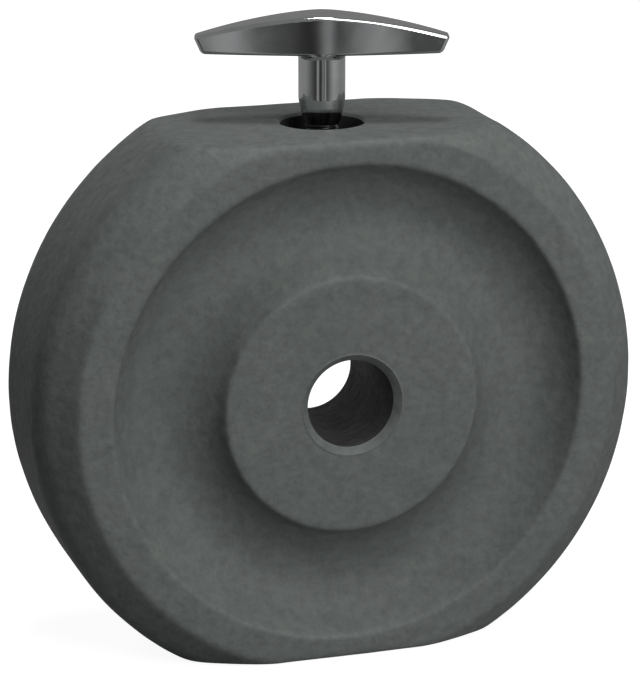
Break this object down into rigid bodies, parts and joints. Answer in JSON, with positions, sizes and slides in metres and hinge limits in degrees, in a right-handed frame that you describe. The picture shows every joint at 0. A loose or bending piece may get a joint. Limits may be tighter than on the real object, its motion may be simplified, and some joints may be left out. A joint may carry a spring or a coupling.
{
  "type": "sliding counterweight",
  "caption": "Disc-shaped iron counterweight with flats above and below, a dished ring round its hub, a through bore for a bar and a T-handle clamp screw.",
  "frame": {"origin": "on the bore axis, half way through the thickness of the disc", "axes": "+Y along the bore, away from the dished face with the flush hub; +Z along the clamp screw, out of the upper flat; +X to the right seen from the dished face"},
  "size_m": [0.118, 0.0382, 0.1206],
  "materials": {
    "painted_iron": "grey enamel over rough sand-cast iron, satin",
    "chrome": "bright chrome plate over a casting",
    "stud_steel": "zinc-plated screw thread",
    "pad_brass": "turned, dull"
  },
  "bodies": {
    "weight": {"weight_body": "painted_iron"},
    "pad": {"swivel_pad": "pad_brass"},
    "screw": {"tee_knob": "chrome", "clamp_stud": "stud_steel"}
  },
  "joints": [
    {"name": "clamp_travel", "type": "slide", "parent": "weight", "child": "pad", "axis": [0, 0, 1], "range_m": [-0.00635, 0.00635]},
    {"name": "screw_turn", "type": "hinge", "parent": "pad", "child": "screw", "pos_m": [0, 0, 0.0501], "axis": [0, 0, 1], "range_deg": [-1800, 1800]}
  ],
  "couplings": [
    {"joint": "clamp_travel", "follows": "screw_turn", "m_per_rad": 0.00020212}
  ]
}
